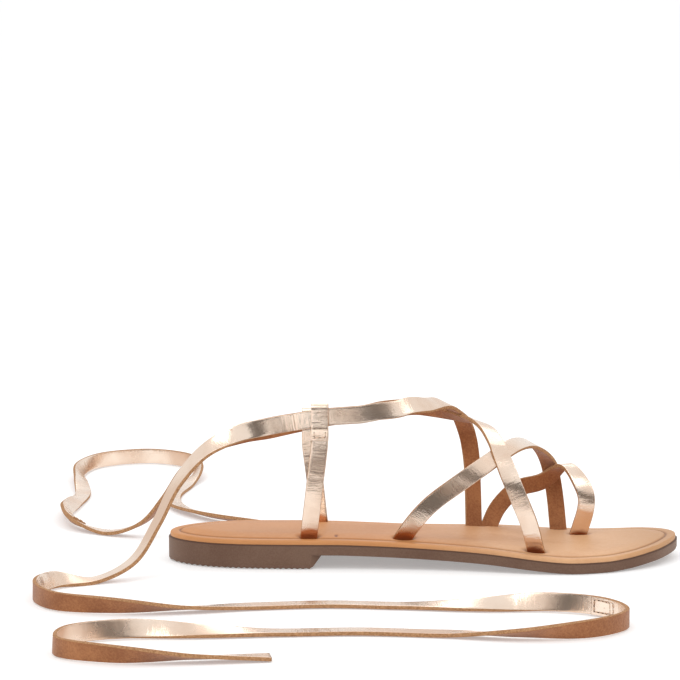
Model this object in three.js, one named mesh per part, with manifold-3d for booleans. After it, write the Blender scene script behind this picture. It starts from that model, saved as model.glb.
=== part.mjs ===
// Gladiator sandal for the right foot: a moulded sole with a low heel, a padded footbed,
// four straps that cross over the foot, two keepers beside the heel and two long ties
// that lie uncoiled on the floor. Millimetres. +X runs to the toe, +Y to the inner side
// of the foot and +Z up. The origin is the middle of the heel's ground face.
import * as THREE from "three";
import { mergeVertices } from "three/addons/utils/BufferGeometryUtils.js";
import Module from "manifold-3d";

const wasm = await Module();
wasm.setup();

// Sole
const soleLength = 250;
const ballWidth = 80;
const outsoleThickness = 5.2;
const heelLift = 6.6;
const heelGroundLength = 70;
const breastSlant = 5.4;
const breastCorner = 5;
const toeSpring = 5;
const treadEdge = 1;

// Footbed
const footbedThickness = 2.2;
const footbedInset = 0.8;
const crownRise = 1.4;

// Straps, keepers and ties
const strapWidth = 8.4;
const strapThickness = 1.8;
const instepHeight = 66;
const toeHeight = 33.5;
const toePostSide = 16;
const slotInset = 9.5;
const slotClearance = 0.3;
const keeperWidth = 8.2;
const keeperThickness = 1.5;
const keeperOverlap = 6;
const keeperFold = 1.5;

// Fits
const seam = 0.3;
const crossingOverlap = 0.45;

// Sizes that follow from the ones above
const heelBack = -heelGroundLength / 2;
const placeAt = (at) => heelBack + at * soleLength;
const shareAt = (x) => (x - heelBack) / soleLength;
const breastAt = heelGroundLength / soleLength;

// Outline of the sole: half widths to the inner and outer side as shares of the ball width.
// The sides meet at the toe's tip, which lies on the inner side of the middle line.
const outlineRows = [
  { at: 0, inner: 0, outer: 0 },
  { at: 0.02, inner: 0.15, outer: 0.15 },
  { at: 0.05, inner: 0.23, outer: 0.23 },
  { at: 0.1, inner: 0.3, outer: 0.3 },
  { at: 0.16, inner: 0.33, outer: 0.335 },
  { at: 0.25, inner: 0.33, outer: 0.35 },
  { at: 0.35, inner: 0.305, outer: 0.355 },
  { at: 0.45, inner: 0.29, outer: 0.37 },
  { at: 0.55, inner: 0.335, outer: 0.405 },
  { at: 0.65, inner: 0.435, outer: 0.46 },
  { at: 0.72, inner: 0.49, outer: 0.5 },
  { at: 0.78, inner: 0.505, outer: 0.505 },
  { at: 0.84, inner: 0.49, outer: 0.465 },
  { at: 0.9, inner: 0.44, outer: 0.375 },
  { at: 0.95, inner: 0.355, outer: 0.25 },
  { at: 0.98, inner: 0.265, outer: 0.115 },
  { at: 1, inner: 0.08, outer: -0.08 },
];

// Underside of the sole: shares of the heel's lift and of the toe spring
const soleRows = [
  { at: 0, lift: 1, spring: 0 },
  { at: 0.32, lift: 1, spring: 0 },
  { at: 0.4, lift: 0.93, spring: 0 },
  { at: 0.49, lift: 0.8, spring: 0 },
  { at: 0.61, lift: 0.56, spring: 0 },
  { at: 0.69, lift: 0.28, spring: 0 },
  { at: 0.76, lift: 0.03, spring: 0 },
  { at: 0.78, lift: 0, spring: 0 },
  { at: 0.84, lift: 0, spring: 0 },
  { at: 0.89, lift: 0, spring: 0.16 },
  { at: 0.94, lift: 0, spring: 0.47 },
  { at: 1, lift: 0, spring: 1 },
];

// Top of the footbed from its edge inwards: how far in, and how high over the outsole
const footbedRows = [
  { inset: 0, over: seam },
  { inset: 0, over: footbedThickness - 0.8 },
  { inset: 0.8, over: footbedThickness },
  { inset: 2.6, over: footbedThickness },
  { inset: 3.3, over: footbedThickness - 0.45 },
  { inset: 4.2, over: footbedThickness + 0.35 * crownRise },
  { inset: 8, over: footbedThickness + 0.85 * crownRise },
  { inset: 13, over: footbedThickness + crownRise },
];

// The form that the straps' outer faces follow, above the footbed: its height as a share of
// the instep height, the side of its ridge and the swell of its flanks as shares of the ball width
const footRows = [
  { at: 0.1, rise: 1.8, ridge: 0, outer: 0.37, inner: 0.37 },
  { at: 0.29, rise: 1.71, ridge: 0, outer: 0.37, inner: 0.37 },
  { at: 0.4, rise: 1.43, ridge: 0.01, outer: 0.36, inner: 0.36 },
  { at: 0.46, rise: 1.21, ridge: 0.02, outer: 0.35, inner: 0.35 },
  { at: 0.51, rise: 1.0, ridge: 0.03, outer: 0.34, inner: 0.34 },
  { at: 0.56, rise: 0.9, ridge: 0.04, outer: 0.34, inner: 0.34 },
  { at: 0.61, rise: 0.825, ridge: 0.04, outer: 0.34, inner: 0.35 },
  { at: 0.65, rise: 0.79, ridge: 0.04, outer: 0.34, inner: 0.37 },
  { at: 0.69, rise: 0.735, ridge: 0.04, outer: 0.34, inner: 0.38 },
  { at: 0.76, rise: 0.61, ridge: 0.05, outer: 0.34, inner: 0.38 },
  { at: 0.84, rise: 0.42, ridge: 0.06, outer: 0.32, inner: 0.36 },
];

// The form of the big toe, in shares of the toe's height and of the ball width
const toeRows = [
  { at: 0.62, rise: 1, ridge: 0.3, outer: 0.1, inner: 0.24 },
  { at: 0.7, rise: 0.9, ridge: 0.31, outer: 0.1, inner: 0.21 },
  { at: 0.75, rise: 0.93, ridge: 0.32, outer: 0.11, inner: 0.19 },
  { at: 0.785, rise: 1, ridge: 0.325, outer: 0.11, inner: 0.17 },
  { at: 0.83, rise: 0.86, ridge: 0.32, outer: 0.11, inner: 0.16 },
];

// Straps: the share of the length, the share of the way round the form from its outer to
// its inner side, and how many strap thicknesses the strap is raised where it crosses another
const strapTables = {
  innerInstep: {
    form: "foot",
    rows: [
      { at: 0.601, round: 1, over: 0 },
      { at: 0.6, round: 0.9, over: 0 },
      { at: 0.597, round: 0.8, over: 0 },
      { at: 0.588, round: 0.7, over: 0.45 },
      { at: 0.566, round: 0.6, over: 0.95 },
      { at: 0.536, round: 0.505, over: 0.7 },
      { at: 0.503, round: 0.4, over: 0.2 },
      { at: 0.451, round: 0.282, over: 0 },
      { at: 0.393, round: 0.221, over: 0 },
      { at: 0.345, round: 0.191, over: 0 },
      { at: 0.298, round: 0.174, over: 0 },
      { at: 0.25, round: 0.164, over: 0 },
    ],
  },
  outerInstep: {
    form: "foot",
    rows: [
      { at: 0.711, round: 0, over: 0 },
      { at: 0.697, round: 0.085, over: 0 },
      { at: 0.678, round: 0.165, over: 0.35 },
      { at: 0.657, round: 0.25, over: 0.92 },
      { at: 0.643, round: 0.32, over: 0.95 },
      { at: 0.633, round: 0.39, over: 0.4 },
      { at: 0.617, round: 0.48, over: 0.1 },
      { at: 0.58, round: 0.59, over: 0 },
      { at: 0.51, round: 0.665, over: 0 },
      { at: 0.459, round: 0.75, over: 0 },
      { at: 0.396, round: 0.81, over: 0 },
      { at: 0.345, round: 0.838, over: 0 },
      { at: 0.298, round: 0.855, over: 0 },
      { at: 0.25, round: 0.866, over: 0 },
    ],
  },
  ball: {
    form: "foot",
    rows: [
      { at: 0.46, round: 0, over: 0 },
      { at: 0.51, round: 0.085, over: 0 },
      { at: 0.57, round: 0.176, over: 0 },
      { at: 0.64, round: 0.312, over: 0 },
      { at: 0.683, round: 0.43, over: 0 },
      { at: 0.718, round: 0.55, over: 0 },
      { at: 0.745, round: 0.66, over: 0.3 },
      { at: 0.761, round: 0.77, over: 0.7 },
      { at: 0.769, round: 0.88, over: 0.3 },
      { at: 0.773, round: 1, over: 0 },
    ],
  },
  toe: {
    form: "toe",
    rows: [
      { at: 0.634, round: 1, over: 0 },
      { at: 0.652, round: 0.92, over: 0 },
      { at: 0.694, round: 0.8, over: 0 },
      { at: 0.742, round: 0.74, over: 0 },
      { at: 0.769, round: 0.635, over: 0 },
      { at: 0.787, round: 0.5, over: 0 },
      { at: 0.808, round: 0.36, over: 0 },
      { at: 0.823, round: 0.24, over: 0 },
      { at: 0.822, round: 0.13, over: 0 },
      { at: 0.81, round: 0, over: 0 },
    ],
  },
};

// Keepers: where each one meets the sole, and where its strap passes through its fold
const keeperTables = {
  keeper_outer: { strap: "innerInstep", footAt: 0.276, footRound: 0, loopAt: 0.297 },
  keeper_inner: { strap: "outerInstep", footAt: 0.295, footRound: 1, loopAt: 0.277 },
};

// Ties: places on the way from the keeper to the free end, the height of the lower edge
// over the floor, and the lean from lying flat (0) to standing on edge (90 or -90)
const outerTieRows = [
  { x: 14, y: -28.5, up: 65.3, lean: 88 },
  { x: 0, y: -31, up: 62.4, lean: 62 },
  { x: -16, y: -36, up: 55.9, lean: 25 },
  { x: -29, y: -41, up: 42.2, lean: 5 },
  { x: -38, y: -46, up: 25, lean: 0 },
  { x: -49, y: -51, up: 8, lean: 0 },
  { x: -66, y: -58, up: 0.3, lean: 0 },
  { x: -84, y: -70, up: 0.3, lean: 50 },
  { x: -91, y: -94, up: 0.3, lean: 90 },
  { x: -80, y: -117, up: 0.3, lean: 90 },
  { x: -54, y: -126, up: 0.3, lean: 60 },
  { x: -22, y: -122, up: 0.3, lean: 15 },
  { x: 10, y: -114, up: 0.3, lean: 0 },
  { x: 44, y: -110, up: 0.3, lean: 0 },
  { x: 78, y: -113, up: 0.3, lean: 0 },
  { x: 112, y: -118, up: 0.3, lean: -25 },
  { x: 144, y: -120, up: 0.3, lean: -70 },
  { x: 168, y: -131, up: 0.3, lean: -90 },
  { x: 175, y: -152, up: 0.3, lean: -90 },
  { x: 160, y: -171, up: 0.3, lean: -80 },
  { x: 128, y: -175, up: 0.3, lean: -30 },
  { x: 94, y: -168, up: 0.3, lean: 0 },
  { x: 58, y: -164, up: 0.3, lean: 0 },
  { x: 22, y: -166, up: 0.3, lean: 0 },
  { x: -12, y: -170, up: 0.3, lean: 25 },
  { x: -44, y: -173, up: 0.3, lean: 70 },
  { x: -68, y: -185, up: 0.3, lean: 90 },
  { x: -70, y: -205, up: 0.3, lean: 90 },
  { x: -48, y: -218, up: 0.3, lean: 70 },
  { x: -14, y: -216, up: 0.3, lean: 20 },
  { x: 20, y: -211, up: 0.3, lean: 0 },
];
const innerTieRows = [
  { x: 14, y: 26.5, up: 54.9, lean: -88 },
  { x: 0, y: 29.5, up: 51.7, lean: -62 },
  { x: -16, y: 34.5, up: 45.9, lean: -25 },
  { x: -29, y: 40, up: 35.7, lean: -5 },
  { x: -39, y: 46, up: 21, lean: 0 },
  { x: -51, y: 51, up: 7, lean: 0 },
  { x: -68, y: 58, up: 0.3, lean: 0 },
  { x: -86, y: 72, up: 0.3, lean: -30 },
  { x: -95, y: 98, up: 0.3, lean: -60 },
  { x: -94, y: 130, up: 0.3, lean: -30 },
  { x: -92, y: 164, up: 0.3, lean: 0 },
  { x: -96, y: 198, up: 0.3, lean: -30 },
  { x: -99, y: 230, up: 0.3, lean: -60 },
  { x: -88, y: 260, up: 0.3, lean: -90 },
  { x: -62, y: 272, up: 0.3, lean: -90 },
  { x: -39, y: 256, up: 0.3, lean: -90 },
  { x: -32, y: 226, up: 0.3, lean: -50 },
  { x: -37, y: 194, up: 0.3, lean: 0 },
  { x: -42, y: 160, up: 0.3, lean: 0 },
  { x: -38, y: 128, up: 0.3, lean: 10 },
  { x: -22, y: 100, up: 0.3, lean: 20 },
  { x: 4, y: 80, up: 0.3, lean: 20 },
  { x: 36, y: 70, up: 0.3, lean: 0 },
  { x: 70, y: 66, up: 0.3, lean: 0 },
  { x: 104, y: 64, up: 0.3, lean: 0 },
  { x: 138, y: 60, up: 0.3, lean: 0 },
  { x: 171, y: 55, up: 0.3, lean: 0 },
  { x: 204, y: 47, up: 0.3, lean: 0 },
];

const leather = (color, roughness, metalness) =>
  new THREE.MeshStandardMaterial({ color, roughness, metalness });
const roseGold = leather(0xd9bfae, 0.32, 0.75);
const tanLeather = leather(0xc98f5c, 0.55, 0);
const soleRubber = leather(0x6f5648, 0.7, 0);

// A curve through one column of a table that never runs past its rows. It is worked out
// over an angle, so that half widths close with a round end.
function curveThrough(rows, column) {
  const angles = rows.map((row) => Math.acos(1 - 2 * row.at));
  const values = rows.map((row) => row[column]);
  const steps = values.slice(1).map((value, i) => (value - values[i]) / (angles[i + 1] - angles[i]));
  const slopes = values.map((value, i) => {
    if (i === 0 || i === values.length - 1) return steps[Math.min(i, steps.length - 1)];
    if (steps[i - 1] * steps[i] <= 0) return 0;
    return (2 * steps[i - 1] * steps[i]) / (steps[i - 1] + steps[i]);
  });
  return (at) => {
    const angle = Math.acos(1 - 2 * THREE.MathUtils.clamp(at, 0, 1));
    let i = angles.findIndex((next) => next >= angle) - 1;
    if (i < -1) i = angles.length - 2;
    i = Math.max(i, 0);
    const span = angles[i + 1] - angles[i];
    const t = THREE.MathUtils.clamp((angle - angles[i]) / span, 0, 1);
    const stay = (1 + 2 * t) * (1 - t) ** 2;
    const lean = t * (1 - t) ** 2 * span;
    const nextStay = t * t * (3 - 2 * t);
    const nextLean = t * t * (t - 1) * span;
    return stay * values[i] + lean * slopes[i] + nextStay * values[i + 1] + nextLean * slopes[i + 1];
  };
}

const innerShare = curveThrough(outlineRows, "inner");
const outerShare = curveThrough(outlineRows, "outer");
const liftShare = curveThrough(soleRows, "lift");
const springShare = curveThrough(soleRows, "spring");
const innerEdge = (at) => innerShare(at) * ballWidth;
const outerEdge = (at) => -outerShare(at) * ballWidth;
const underside = (at) => heelLift * liftShare(at) + toeSpring * springShare(at);
const outsoleTop = (at) => underside(at) + outsoleThickness;
const footbedTop = (at) => outsoleTop(at) + footbedThickness + crownRise;

// A closed solid of a mesh, with shared corners merged and faces of no area dropped
function solidOf(positions, triangles) {
  const raw = new THREE.BufferGeometry();
  raw.setAttribute("position", new THREE.Float32BufferAttribute(positions, 3));
  raw.setIndex(triangles);
  const merged = mergeVertices(raw, 1e-4);
  const index = merged.index.array;
  const kept = [];
  for (let i = 0; i < index.length; i += 3) {
    const corners = [index[i], index[i + 1], index[i + 2]];
    if (new Set(corners).size === 3) kept.push(...corners);
  }
  const vertProperties = new Float32Array(merged.attributes.position.array);
  return new wasm.Manifold(new wasm.Mesh({ numProp: 3, vertProperties, triVerts: new Uint32Array(kept) }));
}

// A solid of rings stacked upwards. A ring starts at the heel, runs along the outer side
// and comes back along the inner side, and the ends are closed from side to side.
function stackOf(rings) {
  const count = rings[0].length;
  const positions = rings.flat().flatMap((point) => point.toArray());
  const triangles = [];
  for (let level = 0; level < rings.length - 1; level += 1) {
    for (let i = 0; i < count; i += 1) {
      const next = (i + 1) % count;
      const low = level * count;
      const high = low + count;
      triangles.push(low + i, low + next, high + next, low + i, high + next, high + i);
    }
  }
  const top = (rings.length - 1) * count;
  for (let i = 0; i < Math.ceil(count / 2); i += 1) {
    const across = (count - i) % count;
    const nextAcross = (count - i - 1) % count;
    triangles.push(top + i, top + i + 1, top + nextAcross, top + i, top + nextAcross, top + across);
    triangles.push(i, nextAcross, i + 1, i, across, nextAcross);
  }
  return solidOf(positions, triangles);
}

// The ring of the sole's outline, moved inwards by an inset
function soleRing(stations, inset, heightAt) {
  const outer = stations.map((at) => new THREE.Vector2(placeAt(at), outerEdge(at)));
  const inner = stations.map((at) => new THREE.Vector2(placeAt(at), innerEdge(at)));
  const closed = outer.concat(inner.reverse().slice(1, -1));
  return closed.map((point, i) => {
    const before = closed[(i + closed.length - 1) % closed.length];
    const after = closed[(i + 1) % closed.length];
    const along = after.clone().sub(before).normalize();
    const moved = new THREE.Vector2(-along.y, along.x).multiplyScalar(inset).add(point);
    return new THREE.Vector3(moved.x, moved.y, heightAt(THREE.MathUtils.clamp(shareAt(moved.x), 0, 1)));
  });
}

// Stations that lie closer together towards the heel's back and the toe's tip
const stationsOf = (count) =>
  Array.from({ length: count + 1 }, (_, i) => (1 - Math.cos((Math.PI * i) / count)) / 2);

// The heel block under the outsole, with a slanted breast whose corners are cut off
function heelBlock() {
  const stations = stationsOf(40).filter((at) => at < breastAt - 0.01);
  const ringAt = (inset, height, slant) => {
    const side = (edge) => stations.map((at) => new THREE.Vector2(placeAt(at), edge(at)));
    const corner = slant * breastCorner + inset;
    const front = placeAt(breastAt);
    const outer = side(outerEdge).concat([
      new THREE.Vector2(front, outerEdge(breastAt)),
      new THREE.Vector2(front + slant * breastSlant, outerEdge(breastAt) + corner),
    ]);
    const inner = side(innerEdge).slice(1).concat([
      new THREE.Vector2(front, innerEdge(breastAt)),
      new THREE.Vector2(front + slant * breastSlant, innerEdge(breastAt) - corner),
    ]);
    const middle = new THREE.Vector2(0, 0);
    return outer.concat(inner.reverse()).map((point) => {
      const inwards = middle.clone().sub(point).normalize().multiplyScalar(inset);
      return new THREE.Vector3(point.x + inwards.x, point.y + inwards.y, height);
    });
  };
  const top = heelLift + outsoleThickness / 2;
  return stackOf([
    ringAt(treadEdge, 0, 0.06),
    ringAt(0, treadEdge, 0.2),
    ringAt(0, heelLift, 1),
    ringAt(0.02, top, 1),
  ]);
}

function outsoleSolid() {
  const stations = stationsOf(40);
  const slab = stackOf([
    soleRing(stations, treadEdge, underside),
    soleRing(stations, 0, (at) => underside(at) + treadEdge),
    soleRing(stations, 0, outsoleTop),
  ]);
  return slab.add(heelBlock());
}

function footbedSolid() {
  const stations = stationsOf(40);
  const rings = footbedRows.map((row) =>
    soleRing(stations, footbedInset + row.inset, (at) => outsoleTop(at) + row.over));
  return stackOf(rings);
}

// Forms that the straps' outer faces follow: a place on the form from its share of the
// length and of the way round, from the outer slot line over the ridge to the inner one
function formOf(rows, height, outerFoot) {
  const rise = curveThrough(rows, "rise");
  const ridge = curveThrough(rows, "ridge");
  const outerSwell = curveThrough(rows, "outer");
  const innerSwell = curveThrough(rows, "inner");
  return (at, round) => {
    const angle = Math.PI * round;
    const top = ridge(at) * ballWidth;
    const foot = angle < Math.PI / 2 ? top - outerFoot(at) : innerEdge(at) - slotInset - top;
    const swell = (angle < Math.PI / 2 ? outerSwell(at) : innerSwell(at)) * ballWidth;
    const side = top - Math.cos(angle) * (foot + swell * Math.sin(angle));
    return new THREE.Vector3(placeAt(at), side, footbedTop(at) + rise(at) * height * Math.sin(angle));
  };
}
const forms = {
  foot: formOf(footRows, instepHeight, (at) => outerEdge(at) + slotInset),
  toe: formOf(toeRows, toeHeight, () => toePostSide),
};

function formNormal(form, at, round) {
  const small = 0.002;
  const along = form(at + small, round).sub(form(at - small, round));
  const across = form(at, round + small).sub(form(at, round - small));
  return along.cross(across).normalize();
}

// A line with the side it faces at each point, so that a flat section follows both
class FacedCurve extends THREE.Curve {
  constructor(points, facings) {
    super();
    this.line = new THREE.CatmullRomCurve3(points, false, "centripetal");
    this.facings = new THREE.CatmullRomCurve3(facings, false, "centripetal");
    this.arcLengthDivisions = 600;
  }

  getPoint(t, target) {
    return this.line.getPoint(t, target);
  }

  facingAt(share) {
    const t = this.getUtoTmapping(share);
    return this.facings.getPoint(t).projectOnPlane(this.getTangent(t)).normalize();
  }

  computeFrenetFrames(steps) {
    const shares = Array.from({ length: steps + 1 }, (_, i) => i / steps);
    const tangents = shares.map((share) => this.getTangentAt(share));
    const normals = shares.map((share) => this.facingAt(share));
    const binormals = tangents.map((tangent, i) => tangent.clone().cross(normals[i]));
    return { tangents, normals, binormals };
  }
}

// A flat strap with chamfered edges, swept along a faced curve
function bandSolid(curve, width, thickness, stepLength) {
  const chamfer = Math.min(0.3 * thickness, 0.5);
  const corner = (x, y) => new THREE.Vector2(x, y);
  const x = thickness / 2;
  const y = width / 2;
  const section = new THREE.Shape([
    corner(x, -y + chamfer), corner(x, y - chamfer), corner(x - chamfer, y), corner(-x + chamfer, y),
    corner(-x, y - chamfer), corner(-x, -y + chamfer), corner(-x + chamfer, -y), corner(x - chamfer, -y),
  ]);
  const steps = Math.max(2, Math.round(curve.getLength() / stepLength));
  const swept = new THREE.ExtrudeGeometry(section, { steps, extrudePath: curve, bevelEnabled: false });
  const positions = Array.from(swept.attributes.position.array);
  return solidOf(positions, positions.filter((_, i) => i % 3 === 0).map((_, i) => i));
}

// The faced curve of a strap from its table, run on into its slots
function strapCurve(table) {
  const form = forms[table.form];
  const places = new THREE.CatmullRomCurve3(
    table.rows.map((row) => new THREE.Vector3(row.at, row.round, row.over)), false, "catmullrom", 0.5);
  const samples = (table.rows.length - 1) * 3;
  const points = [];
  const facings = [];
  for (let i = 0; i <= samples; i += 1) {
    const place = places.getPoint(i / samples);
    const normal = formNormal(form, place.x, place.y);
    const lift = strapThickness * (place.z - 0.5) - (place.z > 0.9 ? crossingOverlap : 0);
    points.push(form(place.x, place.y).addScaledVector(normal, lift));
    facings.push(normal);
  }
  const runIntoSlot = (end, inside) => {
    const away = points[end].clone().sub(points[inside]).normalize();
    const floor = outsoleTop(shareAt(points[end].x)) - strapWidth / 2;
    return points[end].clone().addScaledVector(away, (points[end].z - floor) / -away.z);
  };
  if (table.rows.at(-1).round === 0 || table.rows.at(-1).round === 1) {
    points.push(runIntoSlot(points.length - 1, points.length - 2));
    facings.push(facings[facings.length - 1]);
  }
  points.unshift(runIntoSlot(0, 1));
  facings.unshift(facings[0]);
  return new FacedCurve(points, facings);
}
const strapCurves = Object.fromEntries(
  Object.entries(strapTables).map(([name, table]) => [name, strapCurve(table)]));

const strapStep = 5;
const strapSolids = Object.fromEntries(Object.entries(strapCurves).map(([name, curve]) =>
  [name, bandSolid(curve, strapWidth, strapThickness, strapStep)]));
const upperSolid = Object.values(strapSolids).reduce((joined, strap) => joined.add(strap));

// All that lies under the footbed, which ends the straps inside their slots
function belowFootbed() {
  const stations = stationsOf(40);
  const bottom = soleRing(stations, -2, () => -heelLift);
  const top = soleRing(stations, -2, (at) => outsoleTop(at) + seam);
  return stackOf([bottom, top]);
}

// A keeper: a post from its slot up the foot's side of the strap, folded outwards over the
// strap's upper edge and stitched down to the post's face below the strap
function keeperParts(table, width, thickness) {
  const curve = strapCurves[table.strap];
  const shares = Array.from({ length: 400 }, (_, i) => i / 399);
  const inKeeper = shares.findLast((share) => shareAt(curve.getPointAt(share).x) > table.loopAt);
  const middle = curve.getPointAt(inKeeper);
  const out = curve.facingAt(inKeeper);
  const up = new THREE.Vector3(0, 0, 1).projectOnPlane(out).normalize();
  const sideways = new THREE.Vector3().crossVectors(out, up);
  const gap = strapThickness / 2 + seam + keeperThickness / 2;
  const half = strapWidth / 2 + 2 * seam;
  const spot = (outwards, upwards) =>
    middle.clone().addScaledVector(out, outwards).addScaledVector(up, upwards);
  const fold = (degrees) => {
    const angle = THREE.MathUtils.degToRad(degrees);
    return spot(-gap * Math.cos(angle), half + keeperFold * Math.sin(angle));
  };
  const faced = (points, firstFacing) => new FacedCurve(points, points.map((point, i) => {
    if (i === 0 && firstFacing) return firstFacing;
    const before = points[Math.max(i - 1, 0)];
    const after = points[Math.min(i + 1, points.length - 1)];
    return after.clone().sub(before).cross(sideways).normalize();
  }));
  const form = forms[strapTables[table.strap].form];
  const footFacing = formNormal(form, table.footAt, table.footRound);
  const foot = form(table.footAt, table.footRound).addScaledVector(footFacing, keeperThickness / 2);
  const inset = (2 * keeperThickness) / 3;
  const joint = spot(-gap + inset, -half - keeperOverlap);
  const away = foot.clone().sub(joint).normalize();
  const sunk = outsoleTop(table.footAt) - keeperWidth / 4;
  const below = foot.clone().addScaledVector(away, (foot.z - sunk) / -away.z);
  const bow = foot.clone().lerp(joint, 0.5).addScaledVector(out, keeperThickness);
  const post = faced([below, foot, bow, joint, spot(-gap, -half), spot(-gap, 0), spot(-gap, half),
    fold(30), fold(60), fold(90), fold(97)], footFacing);
  const onPost = -gap + inset + keeperThickness - crossingOverlap / 2;
  const leaf = faced([fold(83), fold(90), fold(120), fold(150), spot(gap, half), spot(gap, 0),
    spot(gap, -half), spot(gap - inset / 2, -half - keeperOverlap / 4),
    spot(onPost + seam, -half - (2 * keeperOverlap) / 3), spot(onPost, -half - keeperOverlap)]);
  return [post, leaf].map((path) => bandSolid(path, width, thickness, 2.4));
}

// A tie from its table: its width turns between lying flat and standing on edge
function tieCurve(strap, rows) {
  const start = strap.getPointAt(1);
  const heading = strap.getTangentAt(1);
  const points = [start.clone().addScaledVector(heading, seam)];
  points.push(points[0].clone().addScaledVector(heading, 0.6 * strapWidth));
  const rolls = rows.map((row) => THREE.MathUtils.degToRad(row.lean));
  rows.forEach((row, i) => {
    const high = Math.abs(Math.sin(rolls[i])) * strapWidth / 2 + Math.cos(rolls[i]) * strapThickness / 2;
    points.push(new THREE.Vector3(row.x, row.y, row.up + high));
  });
  const facings = points.map((point, i) => {
    if (i < 2) return strap.facingAt(1);
    const along = points[Math.min(i + 1, points.length - 1)].clone().sub(points[i - 1]).normalize();
    const left = new THREE.Vector3(-along.y, along.x, 0).normalize();
    const flat = new THREE.Vector3().crossVectors(along, left);
    return flat.multiplyScalar(Math.cos(rolls[i - 2])).addScaledVector(left, Math.sin(rolls[i - 2]));
  });
  return new FacedCurve(points, facings);
}
const tieCurves = {
  tie_outer: tieCurve(strapCurves.innerInstep, outerTieRows),
  tie_inner: tieCurve(strapCurves.outerInstep, innerTieRows),
};

const group = new THREE.Group();
function addPiece(name, solid, material) {
  const { numProp, vertProperties, triVerts } = solid.getMesh();
  const geometry = new THREE.BufferGeometry();
  const places = Array.from({ length: vertProperties.length / numProp }, (_, i) =>
    vertProperties.slice(i * numProp, i * numProp + 3));
  geometry.setAttribute("position", new THREE.Float32BufferAttribute(places.flatMap((p) => [...p]), 3));
  geometry.setIndex(Array.from(triVerts));
  geometry.computeVertexNormals();
  const mesh = new THREE.Mesh(geometry, material);
  mesh.name = name;
  group.add(mesh);
}

const under = belowFootbed();
const slotCutters = Object.values(strapCurves).map((curve) =>
  bandSolid(curve, strapWidth + 2 * slotClearance, strapThickness + 2 * slotClearance, strapStep));
const keeperCutters = Object.values(keeperTables).map((table) =>
  keeperParts(table, keeperWidth + 2 * slotClearance, keeperThickness + 2 * slotClearance)[0]);
const footbed = [...slotCutters, ...keeperCutters]
  .reduce((body, cutter) => body.subtract(cutter), footbedSolid());

addPiece("outsole", outsoleSolid(), soleRubber);
addPiece("footbed", footbed, tanLeather);
addPiece("upper", upperSolid.subtract(under), roseGold);
for (const [name, table] of Object.entries(keeperTables)) {
  const [post, leaf] = keeperParts(table, keeperWidth, keeperThickness);
  addPiece(name, post.add(leaf).subtract(under), roseGold);
}
for (const [name, curve] of Object.entries(tieCurves)) {
  addPiece(name, bandSolid(curve, strapWidth, strapThickness, 11), roseGold);
}

export default group;
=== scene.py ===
import math

import bpy
import numpy as np
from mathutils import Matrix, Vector, noise


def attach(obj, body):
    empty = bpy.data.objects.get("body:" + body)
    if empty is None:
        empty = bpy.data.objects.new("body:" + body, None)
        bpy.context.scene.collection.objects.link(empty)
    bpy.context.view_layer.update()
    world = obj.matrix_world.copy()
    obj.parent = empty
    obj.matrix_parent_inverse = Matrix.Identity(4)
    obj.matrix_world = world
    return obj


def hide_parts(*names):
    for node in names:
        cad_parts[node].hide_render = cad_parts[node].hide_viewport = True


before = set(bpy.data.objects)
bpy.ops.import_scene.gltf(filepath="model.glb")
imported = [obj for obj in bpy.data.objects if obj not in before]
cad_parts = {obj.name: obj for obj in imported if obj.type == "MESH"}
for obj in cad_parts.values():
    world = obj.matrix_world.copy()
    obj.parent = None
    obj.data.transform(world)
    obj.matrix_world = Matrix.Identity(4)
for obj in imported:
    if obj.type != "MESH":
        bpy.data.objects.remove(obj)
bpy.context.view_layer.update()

# Right gladiator sandal. +X runs to the toe, +Y to the inner side of the foot, +Z up.
# The sizes and tables below are in millimetres and the same as the solids' own.
mm = 0.001

sole = {
    "length": 250, "ballWidth": 80, "thickness": 5.2, "heelLift": 6.6, "heelLength": 70,
    "breastSlant": 5.4, "breastCorner": 5, "toeSpring": 5,
    "ridgePitch": 2.7, "ridgeDepth": 0.45, "edgeRound": 0.9,
}
footbed = {
    "thickness": 2.2, "inset": 0.8, "crown": 1.4, "crownReach": 9.5, "edgeRound": 1.1,
    "lineInset": 4.8, "lineWidth": 1.0, "lineDepth": 0.5, "slotInset": 9.5, "slotDepth": 1.6,
}
strap = {
    "width": 8.4, "thickness": 1.8, "round": 0.3, "step": 1.3, "instep": 66, "toe": 33.5,
    "toePostSide": 16, "seam": 0.3, "crossing": 0.45,
}


def table(columns, rows):
    names = columns.split()
    return {name: np.array([row[i] for row in rows], float) for i, name in enumerate(names)}


# Outline: half widths as shares of the ball width
outlineTable = table("at inner outer", [
    (0, 0, 0), (0.02, 0.15, 0.15), (0.05, 0.23, 0.23), (0.1, 0.3, 0.3), (0.16, 0.33, 0.335),
    (0.25, 0.33, 0.35), (0.35, 0.305, 0.355), (0.45, 0.29, 0.37), (0.55, 0.335, 0.405),
    (0.65, 0.435, 0.46), (0.72, 0.49, 0.5), (0.78, 0.505, 0.505), (0.84, 0.49, 0.465),
    (0.9, 0.44, 0.375), (0.95, 0.355, 0.25), (0.98, 0.265, 0.115), (1, 0.08, -0.08),
])
# Underside: shares of the heel's lift and of the toe spring
undersideTable = table("at lift spring", [
    (0, 1, 0), (0.32, 1, 0), (0.4, 0.93, 0), (0.49, 0.8, 0), (0.61, 0.56, 0), (0.69, 0.28, 0),
    (0.76, 0.03, 0), (0.78, 0, 0), (0.84, 0, 0), (0.89, 0, 0.16), (0.94, 0, 0.47), (1, 0, 1),
])
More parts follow.
